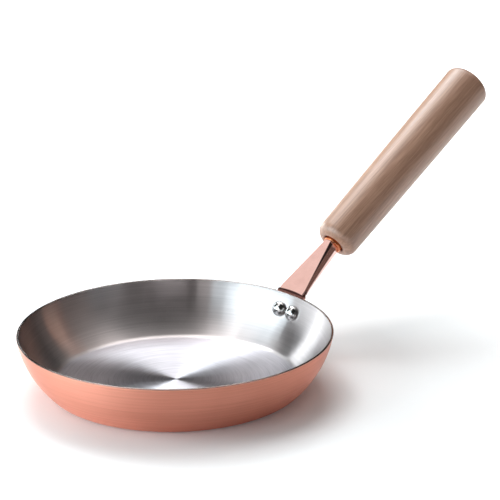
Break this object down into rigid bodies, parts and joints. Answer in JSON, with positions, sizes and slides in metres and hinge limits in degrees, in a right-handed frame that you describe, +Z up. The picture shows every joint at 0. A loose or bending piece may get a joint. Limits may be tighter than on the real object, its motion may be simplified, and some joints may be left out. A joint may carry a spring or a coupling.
{
  "type": "pancake pan",
  "caption": "Small round copper pan with a steel lining, a flared bulging wall, a riveted faceted bracket and a straight turned wooden handle rising from the rim.",
  "frame": {"origin": "centre of the flat base, on the surface that the pan rests on", "axes": "+Z up along the pan's axis, +X from the pan's axis towards the handle"},
  "size_m": [0.348, 0.184, 0.1504],
  "materials": {
    "copper_outside": "copper, brushed round the pan, satin",
    "steel_inside": "brushed in circles, satin",
    "rivet_steel": "polished",
    "copper_plate": "copper plated, polished",
    "copper_collar": "copper, polished",
    "stud_steel": "plain",
    "handle_wood": "satin, fine straight grain"
  },
  "bodies": {
    "root": {"copper_shell": "copper_outside", "steel_lining": "steel_inside", "rivet_left": "rivet_steel", "rivet_right": "rivet_steel", "handle_bracket": "copper_plate", "ferrule": "copper_collar", "tang_stud": "stud_steel", "wood_handle": "handle_wood"}
  },
  "joints": []
}
